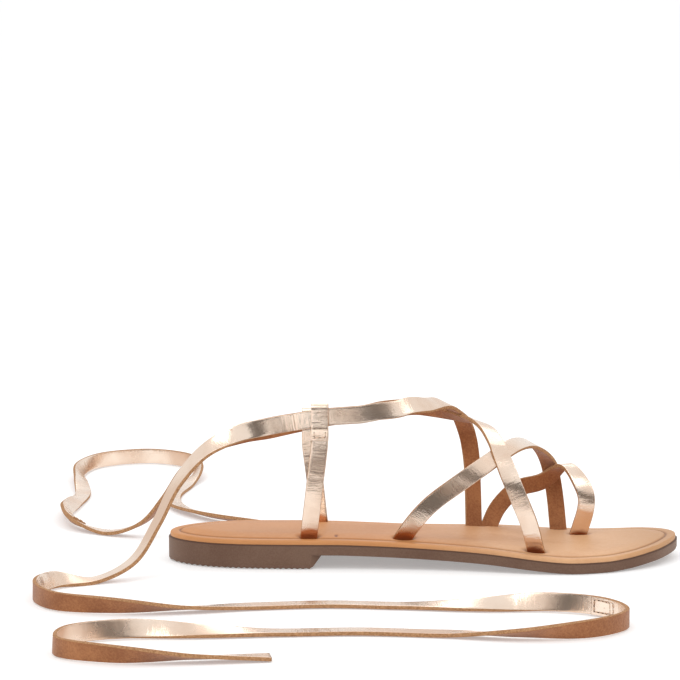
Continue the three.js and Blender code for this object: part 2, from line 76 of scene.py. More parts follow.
# The forms that the straps lie on, foot and big toe
footTable = table("at rise ridge outer inner", [
    (0.1, 1.8, 0, 0.37, 0.37), (0.29, 1.71, 0, 0.37, 0.37), (0.4, 1.43, 0.01, 0.36, 0.36),
    (0.46, 1.21, 0.02, 0.35, 0.35), (0.51, 1.0, 0.03, 0.34, 0.34), (0.56, 0.9, 0.04, 0.34, 0.34),
    (0.61, 0.825, 0.04, 0.34, 0.35), (0.65, 0.79, 0.04, 0.34, 0.37),
    (0.69, 0.735, 0.04, 0.34, 0.38), (0.76, 0.61, 0.05, 0.34, 0.38), (0.84, 0.42, 0.06, 0.32, 0.36),
])
toeTable = table("at rise ridge outer inner", [
    (0.62, 1, 0.3, 0.1, 0.24), (0.7, 0.9, 0.31, 0.1, 0.21), (0.75, 0.93, 0.32, 0.11, 0.19),
    (0.785, 1, 0.325, 0.11, 0.17), (0.83, 0.86, 0.32, 0.11, 0.16),
])

# Straps: share of the length, way round the form, strap thicknesses over the form
strapTables = {
    "strap_inner_instep": ("foot", table("at round over", [
        (0.601, 1, 0), (0.6, 0.9, 0), (0.597, 0.8, 0), (0.588, 0.7, 0.45), (0.566, 0.6, 0.95),
        (0.536, 0.505, 0.7), (0.503, 0.4, 0.2), (0.451, 0.282, 0), (0.393, 0.221, 0),
        (0.345, 0.191, 0), (0.298, 0.174, 0), (0.25, 0.164, 0),
    ])),
    "strap_outer_instep": ("foot", table("at round over", [
        (0.711, 0, 0), (0.697, 0.085, 0), (0.678, 0.165, 0.35), (0.657, 0.25, 0.92),
        (0.643, 0.32, 0.95), (0.633, 0.39, 0.4), (0.617, 0.48, 0.1), (0.58, 0.59, 0),
        (0.51, 0.665, 0), (0.459, 0.75, 0), (0.396, 0.81, 0), (0.345, 0.838, 0), (0.298, 0.855, 0),
        (0.25, 0.866, 0),
    ])),
    "strap_ball": ("foot", table("at round over", [
        (0.46, 0, 0), (0.51, 0.085, 0), (0.57, 0.176, 0), (0.64, 0.312, 0), (0.683, 0.43, 0),
        (0.718, 0.55, 0), (0.745, 0.66, 0.3), (0.761, 0.77, 0.7), (0.769, 0.88, 0.3), (0.773, 1, 0),
    ])),
    "strap_toe": ("toe", table("at round over", [
        (0.634, 1, 0), (0.652, 0.92, 0), (0.694, 0.8, 0), (0.742, 0.74, 0), (0.769, 0.635, 0),
        (0.787, 0.5, 0), (0.808, 0.36, 0), (0.823, 0.24, 0), (0.822, 0.13, 0), (0.81, 0, 0),
    ])),
}

# Ties: route, height of the lower edge over the floor, lean from flat (0) to on edge (90)
outerTieTable = table("x y up lean", [
    (14, -28.5, 65.3, 88), (0, -31, 62.4, 62), (-16, -36, 55.9, 25), (-29, -41, 42.2, 5),
    (-38, -46, 25, 0), (-49, -51, 8, 0), (-66, -58, 0.3, 0), (-84, -70, 0.3, 50), (-91, -94, 0.3, 90),
    (-80, -117, 0.3, 90), (-54, -126, 0.3, 60), (-22, -122, 0.3, 15), (10, -114, 0.3, 0),
    (44, -110, 0.3, 0), (78, -113, 0.3, 0), (112, -118, 0.3, -25), (144, -120, 0.3, -70),
    (168, -131, 0.3, -90), (175, -152, 0.3, -90), (160, -171, 0.3, -80), (128, -175, 0.3, -30),
    (94, -168, 0.3, 0), (58, -164, 0.3, 0), (22, -166, 0.3, 0), (-12, -170, 0.3, 25),
    (-44, -173, 0.3, 70), (-68, -185, 0.3, 90), (-70, -205, 0.3, 90), (-48, -218, 0.3, 70),
    (-14, -216, 0.3, 20), (20, -211, 0.3, 0),
])
innerTieTable = table("x y up lean", [
    (14, 26.5, 54.9, -88), (0, 29.5, 51.7, -62), (-16, 34.5, 45.9, -25), (-29, 40, 35.7, -5),
    (-39, 46, 21, 0), (-51, 51, 7, 0), (-68, 58, 0.3, 0), (-86, 72, 0.3, -30), (-95, 98, 0.3, -60),
    (-94, 130, 0.3, -30), (-92, 164, 0.3, 0), (-96, 198, 0.3, -30), (-99, 230, 0.3, -60),
    (-88, 260, 0.3, -90), (-62, 272, 0.3, -90), (-39, 256, 0.3, -90), (-32, 226, 0.3, -50),
    (-37, 194, 0.3, 0), (-42, 160, 0.3, 0), (-38, 128, 0.3, 10), (-22, 100, 0.3, 20),
    (4, 80, 0.3, 20), (36, 70, 0.3, 0), (70, 66, 0.3, 0), (104, 64, 0.3, 0), (138, 60, 0.3, 0),
    (171, 55, 0.3, 0), (204, 47, 0.3, 0),
])


def curveThrough(rows, column):
    # a curve through one column that never runs past its rows, worked out over an angle
    angles = np.arccos(1 - 2 * rows["at"])
    values = rows[column]
    steps = np.diff(values) / np.diff(angles)
    slopes = np.zeros(len(values))
    slopes[0], slopes[-1] = steps[0], steps[-1]
    together = steps[:-1] * steps[1:]
    rising = together > 0
    slopes[1:-1][rising] = 2 * together[rising] / (steps[:-1] + steps[1:])[rising]

    def read(at):
        angle = np.arccos(1 - 2 * np.clip(at, 0, 1))
        i = np.clip(np.searchsorted(angles, angle) - 1, 0, len(angles) - 2)
        span = angles[i + 1] - angles[i]
        t = np.clip((angle - angles[i]) / span, 0, 1)
        stay, lean = (1 + 2 * t) * (1 - t) ** 2, t * (1 - t) ** 2 * span
        nextStay, nextLean = t * t * (3 - 2 * t), t * t * (t - 1) * span
        return stay * values[i] + lean * slopes[i] + nextStay * values[i + 1] + nextLean * slopes[i + 1]

    return read


heelBack = -sole["heelLength"] / 2
breastAt = sole["heelLength"] / sole["length"]
innerShare = curveThrough(outlineTable, "inner")
outerShare = curveThrough(outlineTable, "outer")
liftShare = curveThrough(undersideTable, "lift")
springShare = curveThrough(undersideTable, "spring")


def placeAt(at):
    return heelBack + at * sole["length"]


def shareAt(x):
    return (x - heelBack) / sole["length"]


def innerEdge(at):
    return innerShare(at) * sole["ballWidth"]


def outerEdge(at):
    return -outerShare(at) * sole["ballWidth"]


def underside(at):
    return sole["heelLift"] * liftShare(at) + sole["toeSpring"] * springShare(at)


def outsoleTop(at):
    return underside(at) + sole["thickness"]


def footbedTop(at):
    return outsoleTop(at) + footbed["thickness"] + footbed["crown"]


def unit(vectors):
    return vectors / np.linalg.norm(vectors, axis=-1, keepdims=True)


# Meshes

def newPiece(name, points, faces, materials, faceMaterials=None):
    mesh = bpy.data.meshes.new(name)
    mesh.from_pydata([tuple(p) for p in np.asarray(points) * mm], [], faces)
    for material in materials:
        mesh.materials.append(material)
    if faceMaterials is not None:
        mesh.polygons.foreach_set("material_index", faceMaterials)
    mesh.polygons.foreach_set("use_smooth", [True] * len(mesh.polygons))
    mesh.update()
    piece = bpy.data.objects.new(name, mesh)
    bpy.context.collection.objects.link(piece)
    return piece


def dress(piece, node=None):
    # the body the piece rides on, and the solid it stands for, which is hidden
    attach(piece, "root")
    if node:
        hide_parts(node)


def giveValues(piece, name, values):
    # one number for each corner of the mesh, read by its material
    layer = piece.data.attributes.new(name, "FLOAT", "POINT")
    layer.data.foreach_set("value", np.asarray(values, np.float32))


def ringFaces(rings, count):
    # faces between closed rings of the same number of points
    faces = []
    for r in range(rings - 1):
        low, high = r * count, (r + 1) * count
        for i in range(count):
            after = (i + 1) % count
            faces.append((low + i, low + after, high + after, high + i))
    return faces


def soleOutline(stations, inset):
    # the outline from the heel's back along the outer side and home along the inner side
    outer = np.stack([placeAt(stations), outerEdge(stations)], 1)
    inner = np.stack([placeAt(stations), innerEdge(stations)], 1)[::-1][1:-1]
    ring = np.concatenate([outer, inner])
    along = unit(np.roll(ring, -1, 0) - np.roll(ring, 1, 0))
    return ring + inset * np.stack([-along[:, 1], along[:, 0]], 1)


def closingFaces(start, count, up):
    # strips from side to side that close a ring
    faces = []
    for i in range(count // 2):
        across, nextAcross = (count - i) % count, count - i - 1
        face = [start + i, start + i + 1, start + nextAcross, start + across]
        if i == 0:
            face.pop()
        if i == count // 2 - 1:
            face = [start + i, start + i + 1, start + across]
        faces.append(tuple(face) if up else tuple(reversed(face)))
    return faces


# Straps as flat bands that keep to a form

def catmull(points, perSpan, even=False):
    # spline through the points as the solids have it: centripetal, or even through a strap's table
    points = np.asarray(points, float)
    ends = np.concatenate([[2 * points[0] - points[1]], points, [2 * points[-1] - points[-2]]])
    spans = np.linalg.norm(np.diff(ends, axis=0), axis=1) ** 0.5
    if even:
        spans[:] = 1
    found = []
    for i in range(len(points) - 1):
        p0, p1, p2, p3 = ends[i:i + 4]
        d1 = spans[i + 1] if spans[i + 1] > 1e-4 else 1
        d0, d2 = [d if d > 1e-4 else d1 for d in (spans[i], spans[i + 2])]
        startSlope = ((p1 - p0) / d0 - (p2 - p0) / (d0 + d1) + (p2 - p1) / d1) * d1
        endSlope = ((p2 - p1) / d1 - (p3 - p1) / (d1 + d2) + (p3 - p2) / d2) * d1
        t = (np.arange(perSpan) / perSpan)[:, None]
        found.append(p1 + startSlope * t + (-3 * p1 + 3 * p2 - 2 * startSlope - endSlope) * t ** 2
                     + (2 * p1 - 2 * p2 + startSlope + endSlope) * t ** 3)
    return np.concatenate(found + [points[-1:]])


def evenSteps(points, facings, step, perSpan=24):
    # the line and the side it faces, at even steps along its length
    line, sides = catmull(points, perSpan), catmull(facings, perSpan)
    run = np.concatenate([[0], np.cumsum(np.linalg.norm(np.diff(line, axis=0), axis=1))])
    count = max(4, int(round(run[-1] / step)))
    wanted = np.linspace(0, run[-1], count + 1)
    centres = np.stack([np.interp(wanted, run, line[:, k]) for k in range(3)], 1)
    sides = np.stack([np.interp(wanted, run, sides[:, k]) for k in range(3)], 1)
    tangents = unit(np.gradient(centres, axis=0))
    sides = unit(sides - tangents * np.sum(sides * tangents, 1, keepdims=True))
    return {"centres": centres, "out": sides, "across": np.cross(tangents, sides), "run": wanted}


def bandSection(width, thickness, corner):
    # the section of a strap as out, across and finish: 0 outer face, 1 inner face, 2 cut edge
    half, thick = width / 2, thickness / 2
    faceSteps = np.linspace(-half + corner, half - corner, 9)
    bend = []
    for angle in np.radians([20, 50, 80]):
        x, y = thick - corner + corner * math.cos(angle), half - corner + corner * math.sin(angle)
        bend.append((x, y, not bend))
    outerFace = [(thick, y, 0) for y in faceSteps]
    outerRight = [(x, y, 0 if first else 2) for x, y, first in bend]
    innerRight = [(-x, y, 1 if first else 2) for x, y, first in bend][::-1]
    innerFace = [(-thick, -y, 1) for y in faceSteps]
    innerLeft = [(-x, -y, 1 if first else 2) for x, y, first in bend]
    outerLeft = [(x, -y, 0 if first else 2) for x, y, first in bend][::-1]
    return outerFace + outerRight + innerRight + innerFace + innerLeft + outerLeft


# How much a band's width and its hollow change along it, and how far from a joint that fades in
ripple = {"wave": 0.12, "waveRate": 0.06, "cup": 0.1, "cupRate": 0.035, "calm": 15}


def bandPiece(name, path, width, thickness, materials, wave=ripple["wave"], calmAt=(), runStart=0):
    section = bandSection(width, thickness, strap["round"])
    out = np.array([p[0] for p in section])
    across = np.array([p[1] for p in section])
    count, rings = len(section), len(path["run"])
    seed = sum(ord(letter) for letter in name)
    points, places, widths = [], [], []
    for r in range(rings):
        run = path["run"][r]
        calm = 1
        if "start" in calmAt:
            calm = min(calm, run / ripple["calm"])
        if "end" in calmAt:
            calm = min(calm, (path["run"][-1] - run) / ripple["calm"])
        swell = 1 + calm * wave / width * noise.noise((run * ripple["waveRate"], seed, 0))
        cup = calm * ripple["cup"] * noise.noise((run * ripple["cupRate"], seed, 5))
        lift = cup * (1 - (2 * across / width) ** 2)
        outwards = np.outer(out + lift, path["out"][r])
        sideways = np.outer(across * swell, path["across"][r])
        points.append(path["centres"][r] + outwards + sideways)
        places.append(np.full(count, (runStart + run) * mm))
        widths.append(across * mm)
    kinds = [section[i][2] for i in range(count)] * (rings - 1) + [2, 2]
    ends = [tuple(reversed(range(count))), tuple(range((rings - 1) * count, rings * count))]
    piece = newPiece(name, np.concatenate(points), ringFaces(rings, count) + ends, materials, kinds)
    giveValues(piece, "runAlong", np.concatenate(places))
    giveValues(piece, "runAcross", np.concatenate(widths))
    for end in (-1, -2):
        piece.data.polygons[end].use_smooth = False
    return piece


# Height over the footbed up to which the foil's colour takes a painted reflection of the brown of its slot
slotReflectionPaint = {"keeper": 3.5, "strap_ball": 3.2, "other": 1.6, "fade": 1.1, "bow": 1.2}


# paints the slot's brown into the foil's colour close to the footbed, a painted reflection
def paintSlotReflection(piece, height):
    flat = np.zeros(len(piece.data.vertices) * 3, np.float32)
    piece.data.vertices.foreach_get("co", flat)
    place = flat.reshape(-1, 3).astype(float) / mm
    across = np.zeros(len(place), np.float32)
    piece.data.attributes["runAcross"].data.foreach_get("value", across)
    over = place[:, 2] - footbedTop(shareAt(place[:, 0]))
    over = over + slotReflectionPaint["bow"] * (across / mm / strap["width"] * 2) ** 2
    giveValues(piece, "paintedSlotReflection", np.clip((height - over) / slotReflectionPaint["fade"], 0, 1))


def formPoint(rows, height, outerFoot):
    rise, ridge = curveThrough(rows, "rise"), curveThrough(rows, "ridge")
    outerSwell, innerSwell = curveThrough(rows, "outer"), curveThrough(rows, "inner")

    def place(at, way):
        angle = math.pi * way
        top = ridge(at) * sole["ballWidth"]
        onOuter = angle < math.pi / 2
        foot = np.where(onOuter, top - outerFoot(at), innerEdge(at) - footbed["slotInset"] - top)
        swell = np.where(onOuter, outerSwell(at), innerSwell(at)) * sole["ballWidth"]
        side = top - np.cos(angle) * (foot + swell * np.sin(angle))
        return np.stack([placeAt(at), side, footbedTop(at) + rise(at) * height * np.sin(angle)], -1)

    return place


forms = {
    "foot": formPoint(footTable, strap["instep"], lambda at: outerEdge(at) + footbed["slotInset"]),
    "toe": formPoint(toeTable, strap["toe"], lambda at: strap["toePostSide"]),
}


def formNormal(form, at, way):
    small = 0.002
    along = form(at + small, way) - form(at - small, way)
    across = form(at, way + small) - form(at, way - small)
    return unit(np.cross(along, across))


def strapPath(formName, rows):
    form = forms[formName]
    way = catmull(np.stack([rows["at"], rows["round"], rows["over"]], 1), 3, even=True)
    facings = formNormal(form, way[:, 0], way[:, 1])
    lift = strap["thickness"] * (way[:, 2] - 0.5) - np.where(way[:, 2] > 0.9, strap["crossing"], 0)
    points = form(way[:, 0], way[:, 1]) + facings * lift[:, None]

    def intoSlot(end, inside):
        away = (end - inside) / np.linalg.norm(end - inside)
        floorZ = outsoleTop(shareAt(end[0])) - strap["width"] / 2
        return end + away * (end[2] - floorZ) / -away[2]

    if rows["round"][-1] in (0, 1):
        points = np.concatenate([points, [intoSlot(points[-1], points[-2])]])
        facings = np.concatenate([facings, facings[-1:]])
    points = np.concatenate([[intoSlot(points[0], points[1])], points])
    facings = np.concatenate([facings[:1], facings])
    return points, facings


strapPaths = {name: strapPath(form, rows) for name, (form, rows) in strapTables.items()}


def tiePath(strapName, rows):
    # a tie goes on from the end of its strap, then follows its own table
    run = evenSteps(*strapPaths[strapName], 0.5)
    start, facing = run["centres"][-1], run["out"][-1]
    heading = unit(run["centres"][-1] - run["centres"][-2])
    points = [start + heading * strap["seam"]]
    points.append(points[0] + heading * 0.6 * strap["width"])
    lean = np.radians(rows["lean"])
    high = np.abs(np.sin(lean)) * strap["width"] / 2 + np.cos(lean) * strap["thickness"] / 2
    points += list(np.stack([rows["x"], rows["y"], rows["up"] + high], 1))
    facings = [facing, facing]
    for i in range(2, len(points)):
        along = unit(points[min(i + 1, len(points) - 1)] - points[i - 1])
        left = unit(np.array([-along[1], along[0], 0]))
        facings.append(np.cross(along, left) * math.cos(lean[i - 2]) + left * math.sin(lean[i - 2]))
    return np.array(points), np.array(facings)


# Materials

class Field:
    # a value inside a material, so that shader maths reads as plain sums
    def __init__(self, tree, socket):
        self.tree, self.socket = tree, socket

    def maths(self, operation, first, second):
        made = self.tree.nodes.new("ShaderNodeMath")
        made.operation = operation
        for slot, value in zip(made.inputs, (first, second)):
            if isinstance(value, Field):
                self.tree.links.new(value.socket, slot)
            else:
                slot.default_value = value
        return Field(self.tree, made.outputs[0])

    def __add__(self, other):
        return self.maths("ADD", self, other)

    def __radd__(self, other):
        return self.maths("ADD", other, self)

    def __sub__(self, other):
        return self.maths("SUBTRACT", self, other)

    def __rsub__(self, other):
        return self.maths("SUBTRACT", other, self)

    def __mul__(self, other):
        return self.maths("MULTIPLY", self, other)

    def __rmul__(self, other):
        return self.maths("MULTIPLY", other, self)


def fromHex(code):
    shares = [int(code[i:i + 2], 16) / 255 for i in (0, 2, 4)]
    return tuple(s / 12.92 if s <= 0.04045 else ((s + 0.055) / 1.055) ** 2.4 for s in shares) + (1,)


class Finish:
    def __init__(self, name):
        self.material = bpy.data.materials.new(name)
        self.material.use_nodes = True
        self.tree = self.material.node_tree
        self.shader = self.tree.nodes["Principled BSDF"]

    def put(self, slot, value):
        # a link, a colour in hex or a plain number
        if isinstance(value, Field):
            self.tree.links.new(value.socket, slot)
        else:
            slot.default_value = fromHex(value) if isinstance(value, str) else value

    def node(self, kind, settings=None, values=None, output=0):
        made = self.tree.nodes.new(kind)
        for name, value in (settings or {}).items():
            setattr(made, name, value)
        for name, value in (values or {}).items():
            self.put(made.inputs[name], value)
        return Field(self.tree, made.outputs[output])

    def place(self):
        return self.node("ShaderNodeTexCoord", output="Object")

    def alongSole(self):
        return self.node("ShaderNodeSeparateXYZ", values={"Vector": self.place()}, output="X")

    def noise(self, scale, detail=3, rough=0.5, stretch=None, where=None):
        where = where or self.place()
        if stretch:
            where = self.node("ShaderNodeMapping", values={"Vector": where, "Scale": stretch})
        values = {"Vector": where, "Scale": scale, "Detail": detail, "Roughness": rough}
        return self.node("ShaderNodeTexNoise", values=values, output="Fac")

    def given(self, name):
        return self.node("ShaderNodeAttribute", {"attribute_name": name}, output="Fac")

    def ramp(self, value, low, high):
        # runs from 0 at low to 1 at high
        values = {"Value": value, "From Min": low, "From Max": high}
        return self.node("ShaderNodeMapRange", {"interpolation_type": "SMOOTHSTEP"}, values)

    def mix(self, share, first, second):
        return self.node("ShaderNodeMix", {"data_type": "RGBA"}, {0: share, 6: first, 7: second}, 2)

    def bump(self, height, distance, strength, under=None):
        values = {"Height": height, "Distance": distance, "Strength": strength}
        if under:
            values["Normal"] = under
        return self.node("ShaderNodeBump", values=values)

    def set(self, **sockets):
        names = {"color": "Base Color", "rough": "Roughness", "metal": "Metallic", "normal": "Normal",
                 "specular": "Specular IOR Level", "sheen": "Sheen Weight", "sheenRough": "Sheen Roughness",
                 "coat": "Coat Weight", "coatRough": "Coat Roughness", "glow": "Emission Color",
                 "glowStrength": "Emission Strength"}
        for name, value in sockets.items():
            self.put(self.shader.inputs[names[name]], value)
        return self.material


# Colours in hex, noise scales in turns a metre, bump depths in metres
foilLook = {
    # slot: the painted reflection of the brown slot, mixed in low on the straps
    "light": "f6e2d0", "deep": "e2c5ae", "worn": "a97f66", "slot": "c98559",
    "creases": 300, "grain": 1500, "patches": 38, "wear": 300,
    "foldDepth": 0.0009, "creaseDepth": 0.0004, "grainDepth": 0.00006, "rough": 0.17, "metal": 0.92,
}


def foilFinish():
    # foil on leather: creases across the band, soft folds and fine grain
    f = Finish("rose_gold_foil")
    lines = {"X": f.given("runAlong"), "Y": f.given("runAcross") * 0.22, "Z": 0.0}
    lines = f.node("ShaderNodeCombineXYZ", values=lines)
    crease = f.noise(foilLook["creases"], 5, 0.62, where=lines)
    folds = f.noise(foilLook["creases"] * 0.22, 2, where=lines)
    grain = f.noise(foilLook["grain"], 2)
    patches = f.noise(foilLook["patches"])
    worn = f.ramp(f.noise(foilLook["wear"], 4) + 0.35 * crease, 0.86, 1.0)
    color = f.mix(f.ramp(patches, 0.35, 0.7), foilLook["light"], foilLook["deep"])
    color = f.mix(0.5 * worn, color, foilLook["worn"])
    # painted reflection of the slot's brown, low on the strap
    color = f.mix(f.given("paintedSlotReflection"), color, foilLook["slot"])
    normal = f.bump(folds, foilLook["foldDepth"], 0.5)
    normal = f.bump(crease, foilLook["creaseDepth"], 0.6, normal)
    normal = f.bump(grain, foilLook["grainDepth"], 0.4, normal)
    rough = foilLook["rough"] + 0.16 * f.ramp(patches, 0.3, 0.75) + 0.12 * worn
    return f.set(color=color, rough=rough, metal=foilLook["metal"], normal=normal)


suedeLook = {"light": "ad744a", "dark": "895432", "nap": 1100, "brushed": 90, "depth": 0.0003}


def suedeFinish():
    f = Finish("brown_suede")
    nap = f.noise(suedeLook["nap"], 6, 0.7)
    share = f.ramp(0.6 * nap + 0.4 * f.noise(suedeLook["brushed"]), 0.35, 0.66)
    color = f.mix(share, suedeLook["dark"], suedeLook["light"])
    normal = f.bump(nap, suedeLook["depth"], 0.5)
    return f.set(color=color, rough=0.92, normal=normal, sheen=0.25, sheenRough=0.5, specular=0.25)


edgeLook = {"light": "bd9068", "dark": "966b47", "fibres": 1300, "depth": 0.0002}


def edgeFinish():
    f = Finish("cut_leather_edge")
    fibres = f.noise(edgeLook["fibres"], 5, 0.65)
    color = f.mix(f.ramp(fibres, 0.35, 0.65), edgeLook["dark"], edgeLook["light"])
    return f.set(color=color, rough=0.85, normal=f.bump(fibres, edgeLook["depth"], 0.6), specular=0.3)


footbedLook = {
    "tan": "cb8b52", "ball": "daa97c", "toe": "bb8a5b", "deep": "b27440", "line": "7f4d28", "slot": "6e3618",
    "grain": 520, "clouds": 24, "pores": 900, "grainDepth": 0.00012, "poreDepth": 0.00008, "rough": 0.42,
}


def footbedFinish():
    # grained tan leather, paler at the ball as a painted highlight, with a darker pressed line and painted
    # shade in the slots
    f = Finish("tan_footbed_leather")
    place = f.alongSole()
    towardsBallHighlight = f.ramp(place, placeAt(0.4) * mm, placeAt(0.7) * mm)
    towardsToe = f.ramp(place, placeAt(0.8) * mm, placeAt(0.98) * mm)
    grain = f.noise(footbedLook["grain"], 5, 0.6)
    clouds = f.noise(footbedLook["clouds"], stretch=(1, 2, 1))
    pores = {"Vector": f.place(), "Scale": footbedLook["pores"]}
    pores = f.node("ShaderNodeTexVoronoi", values=pores, output="Distance")
    # painted highlight over the ball
    color = f.mix(towardsBallHighlight, footbedLook["tan"], footbedLook["ball"])
    color = f.mix(towardsToe, color, footbedLook["toe"])
    color = f.mix(0.35 * f.ramp(clouds + 0.25 * grain, 0.55, 0.85), color, footbedLook["deep"])
    color = f.mix(0.8 * f.given("lineShade"), color, footbedLook["line"])
    color = f.mix(0.9 * f.given("slotShade"), color, footbedLook["slot"])
    normal = f.bump(grain, footbedLook["grainDepth"], 0.5)
    normal = f.bump(pores, footbedLook["poreDepth"], 0.35, normal)
    rough = footbedLook["rough"] + 0.2 * grain
    return f.set(color=color, rough=rough, normal=normal, coat=0.12, coatRough=0.35)


rubberLook = {
    "taupe": "654837", "dusty": "8a6f5c", "dark": "4e3325", "speckle": 1500, "haze": 40, "depth": 0.00008,
}


def rubberFinish():
    # matt taupe rubber, lighter and greyer at toe and heel, with a painted shadow in the seam under the
    # footbed
    f = Finish("taupe_rubber")
    place = f.alongSole()
    toe = f.ramp(place, placeAt(0.9) * mm, placeAt(1.0) * mm)
    heel = 1 - f.ramp(place, placeAt(0) * mm, placeAt(0.05) * mm)
    speckle = f.noise(rubberLook["speckle"])
    dusty = f.ramp(0.5 * f.noise(rubberLook["haze"]) + 0.5 * speckle, 0.35, 0.7)
    color = f.mix(0.35 * dusty + 0.3 * toe + 0.3 * heel, rubberLook["taupe"], rubberLook["dusty"])
    # painted shadow of the footbed's overhang in the seam
    color = f.mix(0.75 * f.given("seamShade"), color, rubberLook["dark"])
    return f.set(color=color, rough=0.56, normal=f.bump(speckle, rubberLook["depth"], 0.5), specular=0.4)


threadLook = {"light": "e6cdb6", "dark": "c9a283", "hole": "5a4031", "twist": 2600, "depth": 0.0001}


def threadFinish():
    f = Finish("sewing_thread")
    twist = f.noise(threadLook["twist"], 2)
    color = f.mix(twist, threadLook["dark"], threadLook["light"])
    return f.set(color=color, rough=0.6, normal=f.bump(twist, threadLook["depth"], 0.5))


foil, cutEdge = foilFinish(), edgeFinish()
tanLeather, rubber, thread = footbedFinish(), rubberFinish(), threadFinish()
strapFinishes = [foil, suedeFinish(), cutEdge]
holeShade = Finish("needle_hole").set(color=threadLook["hole"], rough=0.9)
print("materials made")


# Camera at the photograph's angle

view = {"right": 0.049, "back": 1.37583, "high": 0.28401, "pitch": 7.3, "field": 13.60}
camera = bpy.data.objects.new("camera", bpy.data.cameras.new("camera"))
camera.data.sensor_fit = "HORIZONTAL"
camera.data.angle = math.radians(view["field"])
camera.data.clip_start = 0.05
camera.location = (view["right"], -view["back"], view["high"])
camera.rotation_euler = (math.radians(90 - view["pitch"]), 0, 0)
bpy.context.collection.objects.link(camera)
bpy.context.scene.camera = camera


# Stitches, each a thread between two needle holes

stitch = {"length": 1.7, "gap": 0.8, "thick": 0.46, "thin": 0.35, "proud": 0.1, "hole": 0.26, "sides": 6}


def aroundSpot(centre, first, second, count):
    # points of a ring round a spot, in the plane of two directions
    return [centre + first * math.cos(a) + second * math.sin(a)
            for a in np.arange(count) * 2 * math.pi / count]


def threadRow(points, faces, kinds, path, start, end):
    # stitches between two places on a band, each place its run along and its side
    (runA, sideA), (runB, sideB) = start, end
    total = math.hypot(runB - runA, sideB - sideA)
    count = max(1, int(round(total / (stitch["length"] + stitch["gap"]))))
    sides, holes = stitch["sides"], []
    for i in range(count):
        middle = (i + 0.5) / count
        reach = stitch["length"] / 2 / total
        first = len(points)
        for way in (-1, -0.8, 0.8, 1):
            share = middle + way * reach
            run, side = runA + (runB - runA) * share, sideA + (sideB - sideA) * share
            k = np.interp(run, path["run"], np.arange(len(path["run"])))
            low = min(int(k), len(path["run"]) - 2)
            blend = k - low
            centre = path["centres"][low] * (1 - blend) + path["centres"][low + 1] * blend
            out, across = path["out"][low], path["across"][low]
            base = centre + across * side + out * (path["face"] + stitch["proud"])
            along = unit(path["centres"][low + 1] - path["centres"][low])
            wide = unit(np.cross(out, along * (runB - runA) + across * (sideB - sideA)))
            thin = stitch["thick"] * (stitch["thin"] if abs(way) == 1 else 1) / 2
            points.extend(aroundSpot(base, wide * thin, out * thin, sides))
            if abs(way) == 1:
                ahead = unit(np.cross(wide, out)) * way
                floor = base - out * (stitch["proud"] - 0.04) + ahead * stitch["hole"] * 0.6
                holes.append(aroundSpot(floor, wide * stitch["hole"], ahead * stitch["hole"], 8))
        body = ringFaces(4, sides) + [tuple(reversed(range(sides))), tuple(range(3 * sides, 4 * sides))]
        faces.extend(tuple(first + v for v in face) for face in body)
        kinds.extend([0] * len(body))
    for hole in holes:
        faces.append(tuple(range(len(points), len(points) + len(hole))))
        points.extend(hole)
        kinds.append(1)


def threadPiece(name, path, corners):
    points, faces, kinds = [], [], []
    for start, end in zip(corners, corners[1:]):
        threadRow(points, faces, kinds, path, start, end)
    piece = newPiece(name, points, faces, [thread, holeShade], kinds)
    dress(piece)
    return piece


# Ties, each with one stitched lap

lap = {"length": 14, "taper": 6, "thickness": 1.1, "inset": 1.5, "sunk": 0.15, "narrower": 0.1, "step": 0.7}
tie = {"step": 1.5}
joints = {}


def partOf(path, start, end, lift):
    # a stretch of a path, raised on its own facing side
    wanted = np.arange(start, end, lap["step"])
    pick = {key: np.stack([np.interp(wanted, path["run"], path[key][:, k]) for k in range(3)], 1)
            for key in ("centres", "out", "across")}
    pick["centres"] = pick["centres"] + pick["out"] * np.linspace(*lift, len(wanted))[:, None]
    pick["run"] = wanted
    return pick


def makeTie(name, strapName, rows, lapAt):
    path = evenSteps(*tiePath(strapName, rows), tie["step"])
    path["face"] = strap["thickness"] / 2 + lap["thickness"]
    joints[strapName] = path
    strapRun = evenSteps(*strapPaths[strapName], strap["step"])["run"][-1]
    piece = bandPiece(name + "_leather", path, strap["width"], strap["thickness"], strapFinishes,
                      calmAt=["start"], runStart=strapRun)
    over = (strap["thickness"] + lap["thickness"]) / 2 - lap["sunk"]
    patch = partOf(path, lapAt, lapAt + lap["length"] + lap["taper"], (over, over - lap["thickness"]))
    patchPiece = bandPiece(name + "_lap", patch, strap["width"] - lap["narrower"], lap["thickness"],
                           strapFinishes, wave=0)
    side = strap["width"] / 2 - lap["inset"]
    a, b = lapAt + lap["inset"], lapAt + lap["length"] - lap["inset"] - lap["step"]
    corners = [(a, -side), (b, -side), (b, side), (a, side), (a, -side)]
    stitches = threadPiece(name + "_lap_stitches", path, corners)
    dress(piece, name)
    dress(patchPiece)


makeTie("tie_outer", "strap_inner_instep", outerTieTable, 450)
makeTie("tie_inner", "strap_outer_instep", innerTieTable, 146)
print("ties made")


# Straps

def makeStrap(name):
    points, facings = strapPaths[name]
    if name in joints:
        # the strap runs on to the very ring where its tie starts
        points = np.concatenate([points, joints[name]["centres"][:1]])
        facings = np.concatenate([facings, joints[name]["out"][:1]])
    path = evenSteps(points, facings, strap["step"])
    if name in joints:
        for key in ("centres", "out", "across"):
            path[key][-1] = joints[name][key][0]
    piece = bandPiece(name, path, strap["width"], strap["thickness"], strapFinishes,
                      calmAt=["end"] if name in joints else [])
    paintSlotReflection(piece, slotReflectionPaint.get(name, slotReflectionPaint["other"]))
    dress(piece, "upper")


for name in strapTables:
    makeStrap(name)
print("straps made")


# Keepers: a post out of the footbed, a fold over the strap, and a leaf stitched to the post

